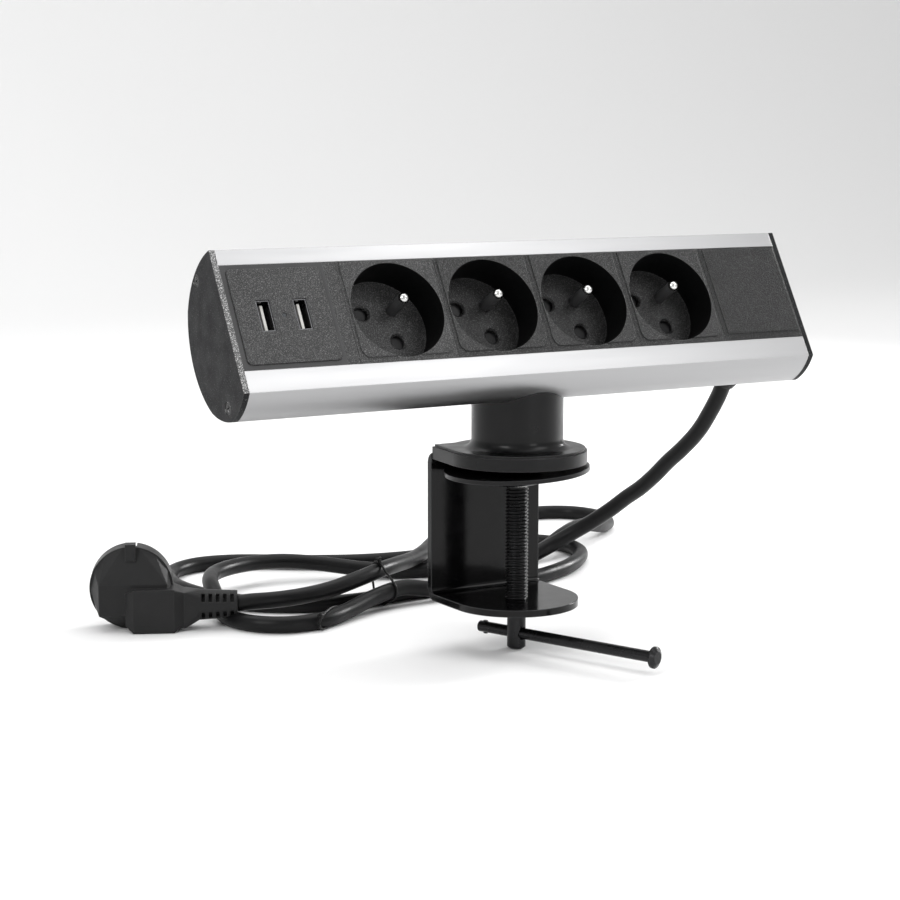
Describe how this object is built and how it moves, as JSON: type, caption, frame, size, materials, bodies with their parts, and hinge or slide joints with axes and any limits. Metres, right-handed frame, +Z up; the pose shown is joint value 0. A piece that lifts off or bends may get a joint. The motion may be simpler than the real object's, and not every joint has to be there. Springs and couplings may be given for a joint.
{
  "type": "desk power strip",
  "caption": "Power bar with leaning socket face, USB ports and blank cover, on a post over a screw clamp for a desk's edge, with its cord folded and tied.",
  "frame": {"origin": "centre of the clamp's upper jaw face, where the desk top touches it, on the axis of the post and screw", "axes": "+X along the bar, -Y the front with the sockets, +Z up"},
  "size_m": [0.3468, 0.3249, 0.1743],
  "materials": {
    "satin_aluminium": "satin anodised",
    "textured_black": "fine spark texture",
    "smooth_dark_grey": "smooth satin",
    "black_screws": "blackened",
    "bright_steel": "polished",
    "white_plastic": "moulded",
    "circuit_board": "solder mask",
    "clear_guide": "clear",
    "grey_plastic": "moulded",
    "cream_plastic": "moulded",
    "brass_parts": "rolled strip",
    "wire_jackets": "soft PVC",
    "cast_aluminium": "as extruded",
    "satin_black_plastic": "satin moulded",
    "black_lacquered_steel": "glossy powder coat",
    "blackened_steel": "black oxide, lightly oiled",
    "black_rubber": "moulded",
    "cord_jacket": "round PVC jacket",
    "tie_wire": "coated wire",
    "plug_plastic": "moulded PVC"
  },
  "bodies": {
    "root": {"housing_profile": "satin_aluminium", "end_cap_left": "textured_black", "end_cap_right": "textured_black", "end_cap_screws": "black_screws", "usb_frame": "smooth_dark_grey", "usb_plate": "textured_black", "usb_shells": "bright_steel", "usb_tongues": "white_plastic", "usb_board": "circuit_board", "usb_light_guide": "clear_guide", "spacer_strip": "textured_black", "blank_cover": "textured_black", "socket_body_1": "textured_black", "socket_body_2": "textured_black", "socket_body_3": "textured_black", "socket_body_4": "textured_black", "rear_housing_1": "cream_plastic", "rear_housing_2": "cream_plastic", "rear_housing_3": "cream_plastic", "rear_housing_4": "cream_plastic", "earth_pin_1": "bright_steel", "earth_pin_2": "bright_steel", "earth_pin_3": "bright_steel", "earth_pin_4": "bright_steel", "shutter_spring_1": "bright_steel", "shutter_spring_2": "bright_steel", "shutter_spring_3": "bright_steel", "shutter_spring_4": "bright_steel", "live_busbar": "brass_parts", "neutral_busbar": "brass_parts", "earth_busbar": "brass_parts", "terminal_block": "cream_plastic", "terminal_screws": "brass_parts", "inner_wires": "wire_jackets", "cord_gland": "black_rubber", "anchor_block": "cast_aluminium", "mounting_screws": "black_screws", "post": "satin_black_plastic", "bracket": "black_lacquered_steel", "cord_lead": "cord_jacket", "cord_hank": "cord_jacket", "cord_ties": "tie_wire", "plug_body": "plug_plastic", "plug_insert": "plug_plastic", "plug_pins": "bright_steel", "plug_earth_clips": "bright_steel"},
    "screw_washer": {"screw_washer": "white_plastic"},
    "clamp_screw": {"clamp_screw": "blackened_steel"},
    "tommy_bar": {"tommy_bar": "blackened_steel"},
    "pressure_pad": {"pressure_disc": "black_lacquered_steel", "swivel_cup": "black_lacquered_steel"},
    "shutter_1": {"shutter_1": "grey_plastic"},
    "shutter_2": {"shutter_2": "grey_plastic"},
    "shutter_3": {"shutter_3": "grey_plastic"},
    "shutter_4": {"shutter_4": "grey_plastic"}
  },
  "joints": [
    {"name": "pad_travel", "type": "slide", "parent": "root", "child": "screw_washer", "axis": [0, 0, -1], "range_m": [0, 0.048]},
    {"name": "screw_turn", "type": "hinge", "parent": "screw_washer", "child": "clamp_screw", "pos_m": [0, 0, -0.03], "axis": [0, 0, -1], "range_deg": [0, 11520]},
    {"name": "tommy_slide", "type": "slide", "parent": "clamp_screw", "child": "tommy_bar", "axis": [0.3502, -0.9367, 0], "range_m": [-0.064, 0.0115]},
    {"name": "pad_tilt", "type": "hinge", "parent": "screw_washer", "child": "pressure_pad", "pos_m": [0, 0, -0.0064], "axis": [0, -1, 0], "range_deg": [-6, 1]},
    {"name": "shutter_turn_1", "type": "hinge", "parent": "root", "child": "shutter_1", "pos_m": [-0.0635, 0.00694, 0.05834], "axis": [0, -0.866, 0.5], "range_deg": [0, 42], "stiffness_Nm_per_rad": 0.004, "springref_deg": -17.19},
    {"name": "shutter_turn_2", "type": "hinge", "parent": "root", "child": "shutter_2", "pos_m": [-0.0185, 0.00694, 0.05834], "axis": [0, -0.866, 0.5], "range_deg": [0, 42], "stiffness_Nm_per_rad": 0.004, "springref_deg": -17.19},
    {"name": "shutter_turn_3", "type": "hinge", "parent": "root", "child": "shutter_3", "pos_m": [0.0265, 0.00694, 0.05834], "axis": [0, -0.866, 0.5], "range_deg": [0, 42], "stiffness_Nm_per_rad": 0.004, "springref_deg": -17.19},
    {"name": "shutter_turn_4", "type": "hinge", "parent": "root", "child": "shutter_4", "pos_m": [0.0715, 0.00694, 0.05834], "axis": [0, -0.866, 0.5], "range_deg": [0, 42], "stiffness_Nm_per_rad": 0.004, "springref_deg": -17.19}
  ],
  "couplings": [
    {"joint": "pad_travel", "follows": "screw_turn", "m_per_rad": 0.00023873}
  ]
}
